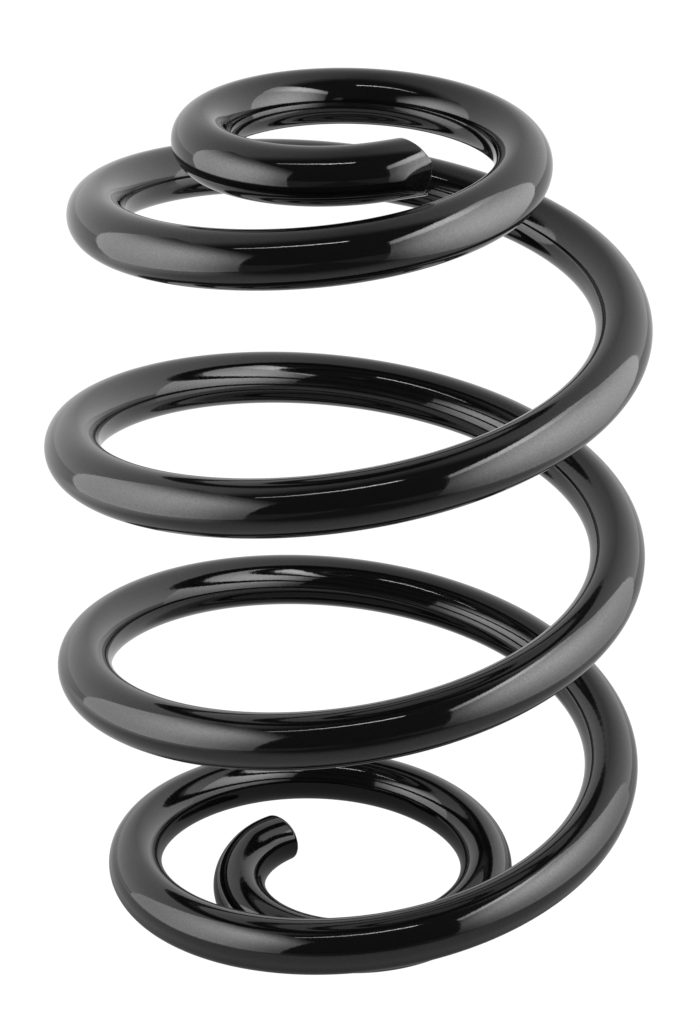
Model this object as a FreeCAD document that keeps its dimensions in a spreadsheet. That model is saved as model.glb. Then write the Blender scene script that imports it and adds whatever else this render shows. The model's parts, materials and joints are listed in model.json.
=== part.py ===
"""Barrel-shaped suspension coil spring with a small pigtail at each end.

One round steel wire is wound into a right-handed coil. It starts as a small flat
ring, flares out to a wide body of even radius, and draws in again to a small ring.
A coil spring works by twisting its wire, so the wire is divided into short lengths.
At every quarter turn of the coil, the lengths on either side of a cut turn against
each other about the wire's own axis. The cuts are square, and neighbouring lengths
meet face to face.

Frame: millimetres, +Z up along the coil's axis. The origin is on the axis, in the
plane that the lower end rests on. The wire's place along the coil is counted in
turns from its lower end.
"""
import FreeCAD, Part
import math
import os

# name, value: lengths in mm, angles in degrees, places along the wire in turns
DIMENSIONS = (
    ("wire_diameter", 12.5),
    ("wire_turns", 5.483),
    ("lower_end_direction", 127.8),
    ("lower_end_mean_diameter", 55),
    ("body_mean_diameter", 123),
    ("upper_end_mean_diameter", 61),
    ("flare_start", 0.36),
    ("flare_turns", 1.23),
    ("taper_start", 3.68),
    ("taper_turns", 1.44),
    ("lower_end_pitch", 0),
    ("body_pitch", 55.7),
    ("upper_end_pitch", 8.4),
    ("rise_start", 0.32),
    ("rise_turns", 1.38),
    ("levelling_start", 3.77),
    ("levelling_turns", 1.05),
    ("lower_pigtail_angle", 299.7),
    ("length_angle", 45),
    ("length_count", 30),
    ("end_chamfer", 0.8),
    ("shear_angle", 15),
    ("flat_depth", 1.05),
    ("flat_turn", 4),
    ("flat_tilt", 6),
)

# where a length lies on its coil, seen from above, in winding order
SIDES = ("back", "back_left", "left", "front_left", "front", "front_right", "right", "back_right")

VOLUME_TOLERANCE = 0.001
SMALL_STEP = 1e-5

doc = FreeCAD.newDocument("CoilSpring")


def make_sheet():
    """The spreadsheet that holds the driving dimensions."""
    sheet = doc.addObject("Spreadsheet::Sheet", "Dimensions")
    for row, (name, value) in enumerate(DIMENSIONS, start=1):
        sheet.set(f"A{row}", name)
        sheet.set(f"B{row}", str(value))
        sheet.setAlias(f"B{row}", name)
    doc.recompute()
    return sheet


size = make_sheet()


def smooth(start, span, turns):
    """0 before start, 1 after start + span, with no corner at either."""
    part = min(max((turns - start) / span, 0), 1)
    return part * part * (3 - 2 * part)


def smooth_sum(start, span, turns):
    """The area under smooth() up to turns."""
    part = min(max((turns - start) / span, 0), 1)
    return span * (part**3 - part**4 / 2) + max(turns - start - span, 0)


def coil_radius(turns):
    """Distance from the coil's axis to the middle of the wire."""
    flare = smooth(size.flare_start, size.flare_turns, turns)
    taper = smooth(size.taper_start, size.taper_turns, turns)
    diameter = size.lower_end_mean_diameter
    diameter += (size.body_mean_diameter - size.lower_end_mean_diameter) * flare
    diameter += (size.upper_end_mean_diameter - size.body_mean_diameter) * taper
    return diameter / 2


def coil_height(turns):
    """Height of the middle of the wire: the pitch, summed from the lower end."""
    height = size.wire_diameter / 2 + size.lower_end_pitch * turns
    rise = smooth_sum(size.rise_start, size.rise_turns, turns)
    levelling = smooth_sum(size.levelling_start, size.levelling_turns, turns)
    height += (size.body_pitch - size.lower_end_pitch) * rise
    height += (size.upper_end_pitch - size.body_pitch) * levelling
    return height


def wire_point(turns):
    """Middle of the wire."""
    angle = math.radians(size.lower_end_direction + 360 * turns)
    radius = coil_radius(turns)
    return FreeCAD.Vector(radius * math.cos(angle), radius * math.sin(angle), coil_height(turns))


def wire_direction(turns):
    """Unit vector along the wire, towards its upper end."""
    along = wire_point(turns + SMALL_STEP) - wire_point(turns - SMALL_STEP)
    return along.normalize()


def arc_edge(start, direction, end):
    """Circular arc from start, which it leaves along direction, to end."""
    chord = end - start
    half = chord.Length / 2
    chord_direction = chord / chord.Length
    side = direction - chord_direction * direction.dot(chord_direction)
    turn = math.atan2(side.Length, direction.dot(chord_direction))
    middle = start + chord / 2 + side.normalize() * (half * math.tan(turn / 2))
    return Part.Arc(start, middle, end).toShape()


def arc_pair(start_turns, end_turns):
    """Two arcs that follow the wire from one place to another without a corner."""
    start, end = wire_point(start_turns), wire_point(end_turns)
    leaving, arriving = wire_direction(start_turns), wire_direction(end_turns)
    across = end - start
    forward = across.dot(leaving + arriving)
    bend = 2 * (1 - leaving.dot(arriving))
    reach = (math.sqrt(forward**2 + bend * across.dot(across)) - forward) / bend
    leaving_corner = start + leaving * reach
    arriving_corner = end - arriving * reach
    join = (leaving_corner + arriving_corner) / 2
    join_direction = (arriving_corner - leaving_corner).normalize()
    return [arc_edge(start, leaving, join), arc_edge(join, join_direction, end)]


def make_path(name, start_turns, end_turns):
    """The middle line of one length of wire."""
    spans = math.ceil((end_turns - start_turns) * 360 / size.length_angle - SMALL_STEP)
    step = (end_turns - start_turns) / spans
    edges = []
    for span in range(spans):
        edges += arc_pair(start_turns + span * step, start_turns + (span + 1) * step)
    path = doc.addObject("Part::Feature", f"{name}_path")
    path.Shape = Part.Wire(edges)
    return path


def make_length(name, start_turns, end_turns):
    """One length of the wire: its round section swept along its middle line."""
    path = make_path(name, start_turns, end_turns)
    section = doc.addObject("Part::Circle", f"{name}_section")
    section.setExpression("Radius", f"{size.Name}.wire_diameter / 2")
    facing = FreeCAD.Rotation(FreeCAD.Vector(0, 0, 1), wire_direction(start_turns))
    section.Placement = FreeCAD.Placement(wire_point(start_turns), facing)
    sweep = doc.addObject("Part::Sweep", f"{name}_sweep")
    sweep.Sections = [section]
    sweep.Spine = (path, [f"Edge{count}" for count in range(1, len(path.Shape.Edges) + 1)])
    sweep.Solid = True
    doc.recompute()
    check_volume(sweep, path)
    return sweep


def check_volume(sweep, path):
    """Stop if a swept length doesn't hold its section times its middle line's length."""
    expected = math.pi * (size.wire_diameter / 2) ** 2 * path.Shape.Length
    if abs(sweep.Shape.Volume / expected - 1) > VOLUME_TOLERANCE:
        raise RuntimeError(f"{sweep.Name} holds {sweep.Shape.Volume:.1f} mm3, not {expected:.1f}")


def make_lower_pigtail(end_turns):
    """The small flat ring at the bottom, which stands on the lower spring seat."""
    sweep = make_length("lower_pigtail", 0, end_turns)
    tip = wire_point(0)
    edges = sweep.Shape.Edges
    rim = min(range(len(edges)), key=lambda index: rim_distance(edges[index], tip))
    pigtail = doc.addObject("Part::Chamfer", "lower_pigtail")
    pigtail.Base = sweep
    pigtail.Edges = [(rim + 1, size.end_chamfer, size.end_chamfer)]
    return pigtail


def rim_distance(edge, tip):
    """How far an edge is from being the circle about a wire end."""
    if edge.Curve.TypeId != "Part::GeomCircle":
        return math.inf
    return (edge.Curve.Center - tip).Length


def make_upper_pigtail(start_turns):
    """The small ring at the top: its end is sheared at a slant and has a flat on its outer side."""
    sweep = make_length("upper_pigtail", start_turns, size.wire_turns)
    tip = wire_point(size.wire_turns)
    along = wire_direction(size.wire_turns)
    outward = (tip - FreeCAD.Vector(0, 0, tip.z)).normalize()
    up = outward.cross(along)
    slant = math.radians(size.shear_angle)
    face = along * math.cos(slant) - outward * math.sin(slant)
    sheared = cut_away("sheared_pigtail", sweep, tip + outward * (size.wire_diameter / 2), face)
    turn = math.radians(size.flat_turn)
    tilt = math.radians(size.flat_tilt)
    flat = (outward * math.cos(turn) + along * math.sin(turn)) * math.cos(tilt) - up * math.sin(tilt)
    flat_middle = tip + flat * (size.wire_diameter / 2 - size.flat_depth)
    return cut_away("upper_pigtail", sheared, flat_middle, flat)


def cut_away(name, base, place, facing):
    """The base without what lies beyond a plane through place."""
    waste = doc.addObject("Part::Box", f"{name}_waste")
    waste.setExpression("Length", f"{size.Name}.wire_diameter * 1.5")
    waste.setExpression("Width", f"{size.Name}.wire_diameter * 1.5")
    waste.setExpression("Height", f"{size.Name}.wire_diameter")
    half_box = FreeCAD.Vector(size.wire_diameter, size.wire_diameter, 0) * 0.75
    turned = FreeCAD.Rotation(FreeCAD.Vector(0, 0, 1), facing)
    waste.Placement = FreeCAD.Placement(place - turned.multVec(half_box), turned)
    remainder = doc.addObject("Part::Cut", name)
    remainder.Base = base
    remainder.Tool = waste
    return remainder


def make_wire_lengths():
    """All the lengths, from the lower end of the wire to the upper."""
    step = size.length_angle / 360
    start = size.lower_pigtail_angle / 360
    count = int(size.length_count)
    lengths = [make_lower_pigtail(start)]
    for index in range(count):
        coil, side = divmod(index, len(SIDES))
        name = f"coil_{coil + 1}_{SIDES[side]}"
        length = make_length(name, start + index * step, start + (index + 1) * step)
        length.Label = name
        lengths.append(length)
    lengths.append(make_upper_pigtail(start + count * step))
    return lengths


def check_and_write(lengths):
    """Write each length to its own file, once every object has proved sound."""
    doc.recompute()
    for item in doc.Objects:
        if "Invalid" in item.State or "Error" in item.State:
            raise RuntimeError(f"{item.Name} failed: {item.State}")
    for length in lengths:
        if length.Shape.isNull() or not length.Shape.isValid() or len(length.Shape.Solids) != 1:
            raise RuntimeError(f"{length.Label} is not one sound solid")
    os.makedirs("parts", exist_ok=True)
    for length in lengths:
        length.Shape.exportStep(f"parts/{length.Label}.step")
    top = coil_height(size.wire_turns) + size.wire_diameter / 2
    across = size.body_mean_diameter + size.wire_diameter
    print(f"{len(lengths)} lengths, {top:.1f} mm high, {across:.1f} mm across")


check_and_write(make_wire_lengths())
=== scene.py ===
"""Gloss black suspension coil spring, standing on a white studio floor.

Metres, in the CAD frame: +Z up along the coil's axis, -Y towards the front. A place
along the wire is counted in turns of the coil from its lower end, as in the CAD.
"""
import bpy
import json
import math
import numpy as np
from mathutils import Matrix, Vector

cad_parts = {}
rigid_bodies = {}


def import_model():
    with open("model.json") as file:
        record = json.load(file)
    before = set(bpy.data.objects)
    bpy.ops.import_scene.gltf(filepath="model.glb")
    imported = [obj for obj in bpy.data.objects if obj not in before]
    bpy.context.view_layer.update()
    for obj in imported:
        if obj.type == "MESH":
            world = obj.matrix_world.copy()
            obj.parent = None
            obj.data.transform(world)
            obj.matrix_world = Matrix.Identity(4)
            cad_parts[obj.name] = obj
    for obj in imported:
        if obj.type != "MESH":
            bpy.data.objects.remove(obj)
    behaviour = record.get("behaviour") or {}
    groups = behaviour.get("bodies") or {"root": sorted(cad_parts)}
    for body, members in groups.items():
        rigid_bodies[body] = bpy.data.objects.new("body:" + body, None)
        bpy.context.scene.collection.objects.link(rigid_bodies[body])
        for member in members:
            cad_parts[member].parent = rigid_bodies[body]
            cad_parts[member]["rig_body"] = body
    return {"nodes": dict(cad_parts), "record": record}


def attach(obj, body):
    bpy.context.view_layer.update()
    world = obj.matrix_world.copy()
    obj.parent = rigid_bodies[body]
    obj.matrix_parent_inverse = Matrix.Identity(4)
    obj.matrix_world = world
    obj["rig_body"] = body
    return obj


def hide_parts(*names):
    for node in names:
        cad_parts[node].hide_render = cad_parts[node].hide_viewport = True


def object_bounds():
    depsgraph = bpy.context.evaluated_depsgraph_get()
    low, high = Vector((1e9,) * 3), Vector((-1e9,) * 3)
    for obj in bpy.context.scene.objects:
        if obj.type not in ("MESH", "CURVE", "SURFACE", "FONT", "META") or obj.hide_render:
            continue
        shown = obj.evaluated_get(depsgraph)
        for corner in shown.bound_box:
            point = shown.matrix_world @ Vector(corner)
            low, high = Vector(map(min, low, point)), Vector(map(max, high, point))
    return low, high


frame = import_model()
cad_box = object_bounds()

# the coil, in metres, turns and radians
WIRE_RADIUS = 0.00625
WIRE_TURNS = 5.483
LOWER_END_DIRECTION = math.radians(127.8)
LOWER_END_RADIUS = 0.0275
BODY_RADIUS = 0.0615
UPPER_END_RADIUS = 0.0305
FLARE = (0.36, 1.23)
TAPER = (3.68, 1.44)
BODY_PITCH = 0.0557
UPPER_END_PITCH = 0.0084
RISE = (0.32, 1.38)
LEVELLING = (3.77, 1.05)

# where the wire is divided, in turns
FIRST_CUT = 299.7 / 360
LENGTH_TURNS = 1 / 8

# the wire ends, in metres: how far a rim is rounded, how far the shear has pushed the
# wire's top and bottom down, and over what length
TIP_ZONE = 0.012
LOWER_END = {"rounding": 0.0011, "top_drop": 0.0011, "bottom_drop": 0, "drop_length": 0.012}
UPPER_END = {"rounding": 0.0005, "top_drop": 0.0003, "bottom_drop": 0.0006, "drop_length": 0.009}
TOP_WEAR = 0.0006

# the flat on the upper end's outer side, in metres and radians
FLAT_DEPTH = 0.00105
FLAT_TURN = math.radians(4)
FLAT_TILT = math.radians(6)
FLAT_EDGE = 0.00002

# the sheared face of the upper end: its slope; how strongly it is crowned, per metre; the
# lip at its foot and the depth of its torn waves, in metres; and how closely those follow
# each other upwards and outwards, in radians per metre
SHEAR_SLOPE = 0.27
UPPER_CROWN = 30
LOWER_CROWN = 90
LIP_START = 0.0038
LIP_WIDTH = 0.0018
LIP_LENGTH = 0.0034
TORN_DEPTH = 0.00006
TORN_UPWARDS = 2900
TORN_OUTWARDS = 600

# how fine the meshes are
RINGS_PER_TURN = 180
AROUND = 96
TIP_RINGS = 34
RIM_RINGS = 7
FACE_RINGS = 20

# how bright the floor round the coil looks, and the room away from it
WHITE = 1.05
PALE_GREY = 0.7


# ------------------------------------------------------------ the wire's shape


def smooth(step, place):
    """0 before the step's start, 1 after its span, with no corner at either."""
    start, span = step
    part = np.clip((place - start) / span, 0, 1)
    return part * part * (3 - 2 * part)


def smooth_sum(step, turns):
    """The area under smooth() up to turns."""
    start, span = step
    part = np.clip((turns - start) / span, 0, 1)
    return span * (part**3 - part**4 / 2) + np.maximum(turns - start - span, 0)


def wire_middle(turns):
    """Points on the middle line of the wire."""
    radius = LOWER_END_RADIUS + (BODY_RADIUS - LOWER_END_RADIUS) * smooth(FLARE, turns)
    radius = radius + (UPPER_END_RADIUS - BODY_RADIUS) * smooth(TAPER, turns)
    height = WIRE_RADIUS + BODY_PITCH * smooth_sum(RISE, turns)
    height = height + (UPPER_END_PITCH - BODY_PITCH) * smooth_sum(LEVELLING, turns)
    angle = LOWER_END_DIRECTION + 2 * math.pi * turns
    return np.stack([radius * np.cos(angle), radius * np.sin(angle), height], axis=-1)


def unit(vectors):
    """The same directions, one long."""
    return vectors / np.linalg.norm(vectors, axis=-1, keepdims=True)


def wire_axes(turns):
    """Across the wire at places along it: outwards from the coil's axis, and upwards."""
    small = 1e-5
    along = unit(wire_middle(turns + small) - wire_middle(turns - small))
    angle = LOWER_END_DIRECTION + 2 * math.pi * turns
    outward = np.stack([np.cos(angle), np.sin(angle), np.zeros_like(angle)], axis=-1)
    outward = unit(outward - along * (outward * along).sum(-1, keepdims=True))
    return outward, np.cross(outward, along)


def metres_per_turn(turns):
    """Length of wire in one turn of the coil, at a place."""
    small = 1e-4
    step = wire_middle(turns + small) - wire_middle(turns - small)
    return float(np.linalg.norm(step)) / (2 * small)


# places along the wire, from just before it to just beyond it, and the length of wire up
# to each, for textures
TABLE_MARGIN = 0.1
TABLE_SIZE = 4000
TABLE_TURNS = np.linspace(-TABLE_MARGIN, WIRE_TURNS + TABLE_MARGIN, TABLE_SIZE)
TABLE_STEPS = np.linalg.norm(np.diff(wire_middle(TABLE_TURNS), axis=0), axis=1)
TABLE_METRES = np.append(0, np.cumsum(TABLE_STEPS))

ANGLES = np.linspace(0, 2 * math.pi, AROUND, endpoint=False)
ACROSS = np.cos(ANGLES)
UPRIGHT = np.sin(ANGLES)


def ring(turns, reach=WIRE_RADIUS):
    """A ring round the wire: points, outward normals, and places in the wire's own space.

    turns and reach, the distance from the middle, may differ round the ring.
    """
    turns = np.broadcast_to(np.asarray(turns, float), (AROUND,))
    reach = np.broadcast_to(np.asarray(reach, float), (AROUND,))
    outward, up = wire_axes(turns)
    normal = outward * ACROSS[:, None] + up * UPRIGHT[:, None]
    points = wire_middle(turns) + normal * reach[:, None]
    metres = np.interp(turns, TABLE_TURNS, TABLE_METRES)
    own = np.stack([metres, ACROSS * reach, UPRIGHT * reach], axis=-1)
    return points, normal, own


# ------------------------------------------------------------ wire ends


def softened(value, soft):
    """The value where it is above 0, and 0 elsewhere, with a bend soft metres long."""
    return soft * np.logaddexp(0, value / soft)


def square_face(outward, up):
    """How far back from the tip a square-cut end stands: worn back a little at the top."""
    return TOP_WEAR * np.clip((up + outward / 2) / WIRE_RADIUS, 0, 1) ** 2


def sheared_face(outward, up):
    """How far back from the tip the sheared end stands: slanted, crowned, and with a lower lip."""
    slant = SHEAR_SLOPE * (WIRE_RADIUS - outward)
    crown = np.where(up > 0, UPPER_CROWN, LOWER_CROWN) * up**2
    lip = LIP_LENGTH * smooth((LIP_START, LIP_WIDTH), -up)
    torn = TORN_DEPTH * np.sin(up * TORN_UPWARDS + outward * TORN_OUTWARDS)
    return slant + crown - lip + torn


def full_round(back):
    """The wire's own radius all round."""
    return np.full(AROUND, WIRE_RADIUS)


def flat_sided(back):
    """The distance to the wire's wall where its outer side has a flat near the tip.

    The flat is straight and the wire bends away from it, so it is deepest at the tip.
    """
    bend = back**2 / (2 * UPPER_END_RADIUS)
    straight = WIRE_RADIUS - FLAT_DEPTH + back * math.tan(FLAT_TURN) + bend
    # the least share keeps the flat's plane outside the wire on the other sides
    facing = np.maximum(np.cos(ANGLES + FLAT_TILT), 0.3)
    return WIRE_RADIUS - softened(WIRE_RADIUS - straight / facing, FLAT_EDGE)


def tip_ring(tip, inward, back, reach, shape):
    """A ring round the wire near a tip, with the drop that the shear has left."""
    points, normal, own = ring(tip + inward * back / metres_per_turn(tip), reach)
    near = np.clip(1 - back / shape["drop_length"], 0, 1) ** 2
    height = (1 + UPRIGHT * reach / WIRE_RADIUS) / 2
    drop = shape["bottom_drop"] + (shape["top_drop"] - shape["bottom_drop"]) * height
    points[:, 2] -= near * drop
    return points, normal, own


def rings_to_tip(cut, tip, inward, face, wall, shape):
    """Rings from a square cut to the middle of an end face, and how many are on the round wall.

    inward is 1 where turns grow away from the tip, and -1 where they fall. face gives how far
    back the end stands, wall how far out the wire's side is, and shape its rounding and drops.
    """
    zone_start = tip + inward * TIP_ZONE / metres_per_turn(tip)
    rings = wall_rings(cut, zone_start)
    before = len(rings)
    rounding = shape["rounding"]
    back = face(ACROSS * WIRE_RADIUS, UPRIGHT * WIRE_RADIUS)
    rim = wall(back)
    back = face(ACROSS * rim, UPRIGHT * rim) + rounding
    # the side of the wire near the tip
    for share in np.linspace(0, 1, TIP_RINGS)[1:-1]:
        place = TIP_ZONE + (back - TIP_ZONE) * share
        rings.append(tip_ring(tip, inward, place, wall(place), shape))
    # the rounded rim
    for angle in np.linspace(0, math.pi / 2, RIM_RINGS):
        reach = rim - rounding * (1 - math.cos(angle))
        place = face(ACROSS * reach, UPRIGHT * reach) + rounding * (1 - math.sin(angle))
        rings.append(tip_ring(tip, inward, place, reach, shape))
    # the end face, from near its rim to near its middle
    for share in np.linspace(0.95, 0.03, FACE_RINGS):
        reach = (rim - rounding) * share
        place = face(ACROSS * reach, UPRIGHT * reach)
        rings.append(tip_ring(tip, inward, place, reach, shape))
    return rings, before


def wall_rings(start, end):
    """Rings along the wire's round wall, evenly spaced."""
    steps = max(2, round(abs(end - start) * RINGS_PER_TURN))
    return [ring(place) for place in np.linspace(start, end, steps + 1)]


# ------------------------------------------------------------ meshes


def tube_faces(count):
    """Quads between neighbouring rings, then a flat face over the first ring and the last."""
    faces = []
    for low in range(count - 1):
        for side in range(AROUND):
            after = (side + 1) % AROUND
            here, there = low * AROUND, (low + 1) * AROUND
            faces.append((here + side, there + side, there + after, here + after))
    faces.append(tuple(range(AROUND)))
    faces.append(tuple(reversed(range((count - 1) * AROUND, count * AROUND))))
    return faces


def set_normals(mesh, normals, on_wall):
    """Exact normals on the round wall, so that no cut shows, and Blender's own elsewhere."""
    own = np.empty(len(mesh.vertices) * 3, np.float32)
    mesh.vertex_normals.foreach_get("vector", own)
    own = own.reshape(-1, 3)
    own[: on_wall * AROUND] = normals[: on_wall * AROUND]
    flat = len(mesh.polygons) - 2
    loops = []
    for polygon in mesh.polygons:
        for loop in polygon.loop_indices:
            vertex = mesh.loops[loop].vertex_index
            loops.append(tuple(polygon.normal if polygon.index >= flat else own[vertex]))
    mesh.normals_split_custom_set(loops)


def make_piece(name, rings, on_wall, inward=-1):
    """A length of wire in place of its CAD node, on the same body.

    inward is 1 where the rings run towards the wire's lower end, and -1 otherwise.
    """
    points, normals, own = (np.vstack([found[part] for found in rings]) for part in range(3))
    faces = tube_faces(len(rings))
    if inward > 0:
        faces = [tuple(reversed(face)) for face in faces]
    mesh = bpy.data.meshes.new(f"{name}_wire")
    mesh.from_pydata(points.tolist(), [], faces)
    mesh.polygons.foreach_set("use_smooth", np.ones(len(faces), bool))
    attribute = mesh.attributes.new("wire_space", "FLOAT_VECTOR", "POINT")
    attribute.data.foreach_set("vector", own.astype(np.float32).ravel())
    set_normals(mesh, normals, on_wall)
    mesh.materials.append(coating)
    piece = bpy.data.objects.new(f"{name}_wire", mesh)
    bpy.context.scene.collection.objects.link(piece)
    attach(piece, frame["nodes"][name]["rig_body"])
    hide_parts(name)


def make_wire():
    """Every length of the wire, from its lower end to its upper, as the record lists them."""
    names = [part["node"] for part in frame["record"]["subparts"]]
    last_cut = FIRST_CUT + (len(names) - 2) * LENGTH_TURNS
    rings, on_wall = rings_to_tip(FIRST_CUT, 0, 1, square_face, full_round, LOWER_END)
    make_piece("lower_pigtail", rings, on_wall, inward=1)
    for index, name in enumerate(names[1:-1]):
        start = FIRST_CUT + index * LENGTH_TURNS
        rings = wall_rings(start, start + LENGTH_TURNS)
        make_piece(name, rings, len(rings))
    rings, on_wall = rings_to_tip(last_cut, WIRE_TURNS, -1, sheared_face, flat_sided, UPPER_END)
    make_piece("upper_pigtail", rings, on_wall)


# ------------------------------------------------------------ materials


class Nodes:
    """A short way to add and join shader nodes."""

    def __init__(self, tree):
        self.tree = tree
        tree.nodes.clear()

    def add(self, kind, **settings):
        """A new node with these settings."""
        node = self.tree.nodes.new(kind)
        for name, value in settings.items():
            setattr(node, name, value)
        return node

    def feed(self, socket, value):
        """Join an output to an input, or set the input's value."""
        if isinstance(value, bpy.types.NodeSocket):
            self.tree.links.new(value, socket)
        else:
            socket.default_value = value

    def noise(self, vector, scale, detail=2.0):
        """Noise from about 0 to 1, with features 1/scale metres across."""
        node = self.add("ShaderNodeTexNoise")
        self.feed(node.inputs["Vector"], vector)
        self.feed(node.inputs["Scale"], scale)
        self.feed(node.inputs["Detail"], detail)
        return node.outputs["Fac"]

    def stretched(self, vector, scale):
        """The vector with each part multiplied by scale's."""
        node = self.add("ShaderNodeVectorMath", operation="MULTIPLY")
        self.feed(node.inputs[0], vector)
        self.feed(node.inputs[1], scale)
        return node.outputs[0]

    def ranged(self, value, low, high, to_low, to_high, smooth=False):
        """Value, from low to high, changed to run from to_low to to_high and no further."""
        node = self.add("ShaderNodeMapRange")
        node.interpolation_type = "SMOOTHSTEP" if smooth else "LINEAR"
        for socket, number in zip(node.inputs, (value, low, high, to_low, to_high)):
            self.feed(socket, number)
        return node.outputs[0]

    def maths(self, operation, first, second=0.0):
        """One sum, product or the like."""
        node = self.add("ShaderNodeMath", operation=operation)
        self.feed(node.inputs[0], first)
        self.feed(node.inputs[1], second)
        return node.outputs[0]

    def bump(self, height, metres, under=None):
        """Fine relief, metres high."""
        node = self.add("ShaderNodeBump")
        self.feed(node.inputs["Distance"], metres)
        self.feed(node.inputs["Height"], height)
        if under is not None:
            self.feed(node.inputs["Normal"], under)
        return node.outputs["Normal"]


def make_coating():
    """Gloss black stoved coating on steel: orange peel, faint waviness, rub marks and fine dust."""
    material = bpy.data.materials.new("gloss_black_coating")
    material.use_nodes = True
    nodes = Nodes(material.node_tree)
    wire_space = nodes.add("ShaderNodeAttribute", attribute_name="wire_space").outputs["Vector"]
    shader = nodes.add("ShaderNodeBsdfPrincipled")
    output = nodes.add("ShaderNodeOutputMaterial")
    nodes.feed(output.inputs["Surface"], shader.outputs[0])

    grain = nodes.noise(wire_space, 2600)
    peel = nodes.noise(wire_space, 700)
    waviness = nodes.noise(nodes.stretched(wire_space, (0.5, 1, 1)), 130, 1)
    relief = nodes.bump(waviness, 0.00006)
    relief = nodes.bump(peel, 0.000008, relief)
    relief = nodes.bump(grain, 0.000002, relief)
    nodes.feed(shader.inputs["Normal"], relief)

    streaks = nodes.noise(nodes.stretched(wire_space, (25, 2200, 2200)), 1, 1)
    patches = nodes.noise(wire_space, 45, 2)
    rubbed = nodes.maths(
        "MULTIPLY",
        nodes.ranged(streaks, 0.7, 0.8, 0, 1),
        nodes.ranged(patches, 0.52, 0.68, 0, 1, smooth=True),
    )
    haze = nodes.ranged(nodes.noise(wire_space, 180, 3), 0.35, 0.75, 0.05, 0.085)
    roughness = nodes.maths("ADD", haze, nodes.maths("MULTIPLY", rubbed, 0.12))
    nodes.feed(shader.inputs["Roughness"], roughness)

    colour = nodes.add("ShaderNodeMix", data_type="RGBA")
    nodes.feed(colour.inputs["Factor"], rubbed)
    nodes.feed(colour.inputs["A"], (0.0018, 0.0018, 0.0019, 1))
    nodes.feed(colour.inputs["B"], (0.006, 0.006, 0.0062, 1))
    nodes.feed(shader.inputs["Base Color"], colour.outputs["Result"])
    dust = nodes.noise(wire_space, 3000, 1)
    nodes.feed(shader.inputs["Specular IOR Level"], nodes.ranged(dust, 0.25, 0.75, 0.43, 0.57))
    nodes.feed(shader.inputs["IOR"], 1.5)
    return material


def make_floor_material():
    """White floor round and behind the coil, pale grey elsewhere.

    In the wire's reflections it fades out in front, with a painted shadow under the coil
    and painted light from the side softboxes at both sides of the front.
    """
    material = bpy.data.materials.new("white_floor")
    material.use_nodes = True
    nodes = Nodes(material.node_tree)
    place = nodes.add("ShaderNodeTexCoord").outputs["Object"]
    split = nodes.add("ShaderNodeSeparateXYZ")
    nodes.feed(split.inputs[0], place)
    aside = nodes.maths("ABSOLUTE", split.outputs["X"])
    depth = split.outputs["Y"]

    # to look at: a white lane that widens towards the back
    beyond = nodes.maths("SUBTRACT", aside, nodes.maths("MULTIPLY", depth, 0.17))
    white = nodes.ranged(beyond, 0.2, 0.7, 1, 0, smooth=True)
    front_end = nodes.ranged(depth, -0.45, -0.14, 0, 1, smooth=True)
    white = nodes.maths("MULTIPLY", white, front_end)
    back_end = nodes.ranged(depth, 1.3, 3.5, 1, 0, smooth=True)
    white = nodes.maths("MULTIPLY", white, back_end)
    seen = nodes.add("ShaderNodeEmission")
    nodes.feed(seen.inputs["Strength"], nodes.ranged(white, 0, 1, PALE_GREY, WHITE))

    # in reflections: brighter towards the back, dark in front, painted light at both sides of the
    # front, and a painted shadow under the coil
    level = nodes.ranged(depth, 0, 0.5, 0.62, 0.8)
    front = nodes.ranged(depth, -0.36, -0.14, 0.15, 1, smooth=True)
    level = nodes.maths("MULTIPLY", level, front)
    # painted light: brighter at both sides of the front, next to the side softboxes
    beside = nodes.ranged(aside, 0.16, 0.28, 0, 1, smooth=True)
    gain = nodes.ranged(depth, 0, 0.2, 1.5, 0.1, smooth=True)
    beside = nodes.maths("MULTIPLY", beside, gain)
    level = nodes.maths("MULTIPLY", level, nodes.maths("ADD", beside, 1))
    # painted shadow: darker under the coil and just round its foot
    distance = nodes.add("ShaderNodeVectorMath", operation="LENGTH")
    nodes.feed(distance.inputs[0], place)
    shade = nodes.ranged(distance.outputs["Value"], 0.06, 0.085, 0.35, 1, smooth=True)
    reflected = nodes.add("ShaderNodeEmission")
    nodes.feed(reflected.inputs["Strength"], nodes.maths("MULTIPLY", level, shade))

    mixed = nodes.add("ShaderNodeMixShader")
    nodes.feed(mixed.inputs[0], nodes.add("ShaderNodeLightPath").outputs["Is Camera Ray"])
    nodes.feed(mixed.inputs[1], reflected.outputs[0])
    nodes.feed(mixed.inputs[2], seen.outputs[0])
    output = nodes.add("ShaderNodeOutputMaterial")
    nodes.feed(output.inputs["Surface"], mixed.outputs[0])
    return material


# ------------------------------------------------------------ studio


def make_floor():
    """A wide floor at the height that the spring stands at."""
    half = 12
    mesh = bpy.data.meshes.new("floor")
    height = cad_box[0].z
    directions = ((-1, -1), (1, -1), (1, 1), (-1, 1))
    corners = [(half * across, half * deep, height) for across, deep in directions]
    mesh.from_pydata(corners, [], [(0, 1, 2, 3)])
    mesh.materials.append(make_floor_material())
    floor = bpy.data.objects.new("floor", mesh)
    bpy.context.scene.collection.objects.link(floor)


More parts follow.
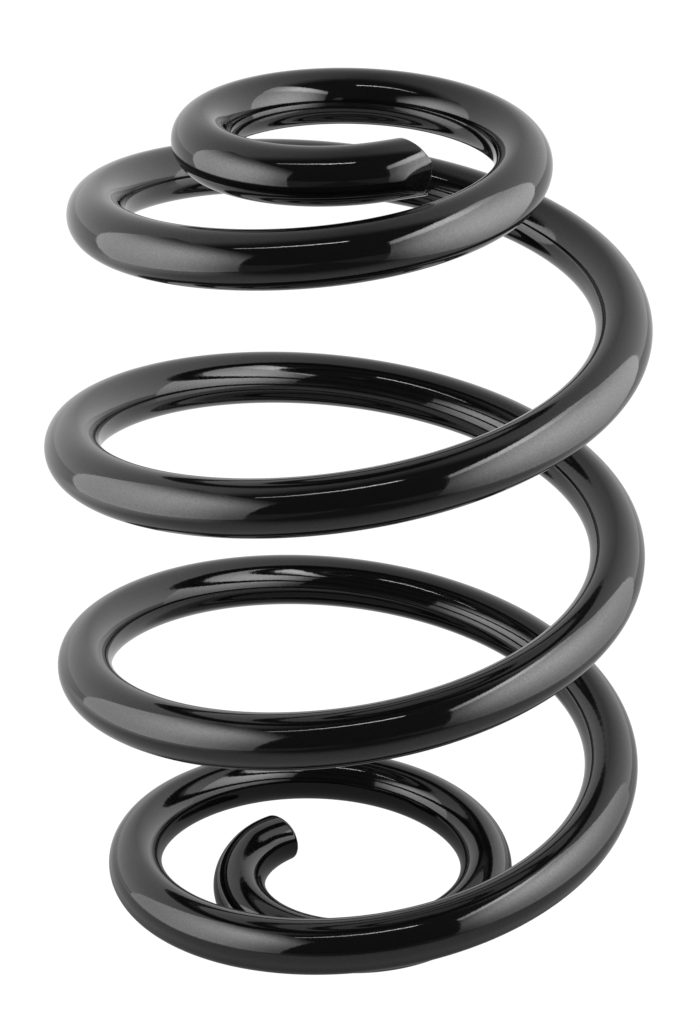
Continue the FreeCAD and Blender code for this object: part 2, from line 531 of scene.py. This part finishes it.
def make_softbox(name, corner, side, rise, brightness, across, upward):
    """A glowing panel that the camera doesn't see.

    corner is its first corner, and side and rise run along its edges. across and upward
    say how it glows along those two edges: its share of brightness at the start, where
    along the edge it is brightest, and its share at the end.
    """
    corner, side, rise = Vector(corner), Vector(side), Vector(rise)
    mesh = bpy.data.meshes.new(name)
    mesh.from_pydata([corner, corner + side, corner + side + rise, corner + rise], [], [(0, 1, 2, 3)])
    layer = mesh.uv_layers.new(name="UVMap")
    for loop, place in zip(layer.data, ((0, 0), (1, 0), (1, 1), (0, 1))):
        loop.uv = place
    material = bpy.data.materials.new(name)
    material.use_nodes = True
    nodes = Nodes(material.node_tree)
    split = nodes.add("ShaderNodeSeparateXYZ")
    nodes.feed(split.inputs[0], nodes.add("ShaderNodeTexCoord").outputs["UV"])
    strength = brightness
    for place, (first, peak, last) in ((split.outputs["X"], across), (split.outputs["Y"], upward)):
        rising = nodes.ranged(place, 0, peak, first, 1, smooth=True)
        falling = nodes.ranged(place, peak, 1, 1, last, smooth=True)
        strength = nodes.maths("MULTIPLY", nodes.maths("MULTIPLY", rising, falling), strength)
    glow = nodes.add("ShaderNodeEmission")
    nodes.feed(glow.inputs["Strength"], strength)
    output = nodes.add("ShaderNodeOutputMaterial")
    nodes.feed(output.inputs["Surface"], glow.outputs[0])
    mesh.materials.append(material)
    panel = bpy.data.objects.new(name, mesh)
    panel.visible_camera = False
    panel.visible_shadow = False
    bpy.context.scene.collection.objects.link(panel)


def make_softboxes():
    """A large softbox on each side, a brighter one above the right, and a strip light in front."""
    make_softbox(
        "left_softbox",
        corner=(-0.28, -0.39, 0),
        side=(0, 0.49, 0),
        rise=(0, 0, 0.49),
        brightness=5.65,
        across=(0.33, 0.56, 0.6),
        upward=(0.6, 0.55, 0.1),
    )
    make_softbox(
        "right_softbox",
        corner=(0.22, -0.4, 0),
        side=(0, 0.49, 0),
        rise=(0, 0, 0.405),
        brightness=6.9,
        across=(0.2, 0.64, 0.6),
        upward=(0.33, 0.6, 0.8),
    )
    make_softbox(
        "upper_softbox",
        corner=(0.22, -0.4, 0.405),
        side=(0, 0.5, 0),
        rise=(0, 0, 0.11),
        brightness=9.7,
        across=(0.4, 0.6, 0.4),
        upward=(0.9, 0.5, 0.8),
    )
    make_softbox(
        "strip_light",
        corner=(-0.63, -0.336, 1.05),
        side=(0.675, -0.085, 0),
        rise=(0.008, 0.026, 0),
        brightness=22,
        across=(0.3, 0.95, 0.9),
        upward=(1, 0.5, 1),
    )


def make_world():
    """Pale grey to look at. In reflections, a pale backdrop behind and a dark room in front."""
    world = bpy.data.worlds.new("studio")
    world.use_nodes = True
    nodes = Nodes(world.node_tree)
    direction = nodes.add("ShaderNodeSeparateXYZ")
    nodes.feed(direction.inputs[0], nodes.add("ShaderNodeTexCoord").outputs["Generated"])

    # in reflections: the backdrop is brightest low down and at both sides
    behind = nodes.ranged(direction.outputs["Y"], -0.15, 0.25, 0, 1, smooth=True)
    right = nodes.maths("MULTIPLY", direction.outputs["X"], 1.14)
    left = nodes.maths("MULTIPLY", direction.outputs["X"], -0.6)
    beside = nodes.maths("MAXIMUM", right, left)
    backdrop = nodes.maths("ADD", beside, nodes.ranged(direction.outputs["Z"], 0, 1, 0.8, 0.36))
    dark_room = 0.065
    level = nodes.maths("ADD", nodes.maths("MULTIPLY", behind, backdrop), dark_room)

    seen = nodes.add("ShaderNodeLightPath").outputs["Is Camera Ray"]
    background = nodes.add("ShaderNodeBackground")
    nodes.feed(background.inputs["Color"], (1, 1, 1, 1))
    nodes.feed(background.inputs["Strength"], nodes.ranged(seen, 0, 1, level, PALE_GREY))
    output = nodes.add("ShaderNodeOutputWorld")
    nodes.feed(output.inputs["Surface"], background.outputs[0])
    bpy.context.scene.world = world


def make_camera():
    """The photograph's view: from the front, about 26 degrees above level."""
    place = Vector((0, -0.62502, 0.41695))
    yaw, pitch, roll = 0.00087, 0.46197, -0.01378
    ahead = Vector((math.sin(yaw) * math.cos(pitch), math.cos(yaw) * math.cos(pitch), -math.sin(pitch)))
    level = Vector((math.cos(yaw), -math.sin(yaw), 0))
    above = level.cross(ahead)
    right = level * math.cos(roll) + above * math.sin(roll)
    up = above * math.cos(roll) - level * math.sin(roll)
    # the lens and the sensor are in millimetres
    data = bpy.data.cameras.new("camera")
    data.lens = 107.48
    data.sensor_width = 36
    camera = bpy.data.objects.new("camera", data)
    turned = Matrix((right, up, -ahead)).transposed()
    camera.matrix_world = Matrix.Translation(place) @ turned.to_4x4()
    bpy.context.scene.collection.objects.link(camera)
    bpy.context.scene.camera = camera
    bpy.context.scene.view_settings.view_transform = "Standard"


coating = make_coating()
make_wire()
make_floor()
make_softboxes()
make_world()
make_camera()
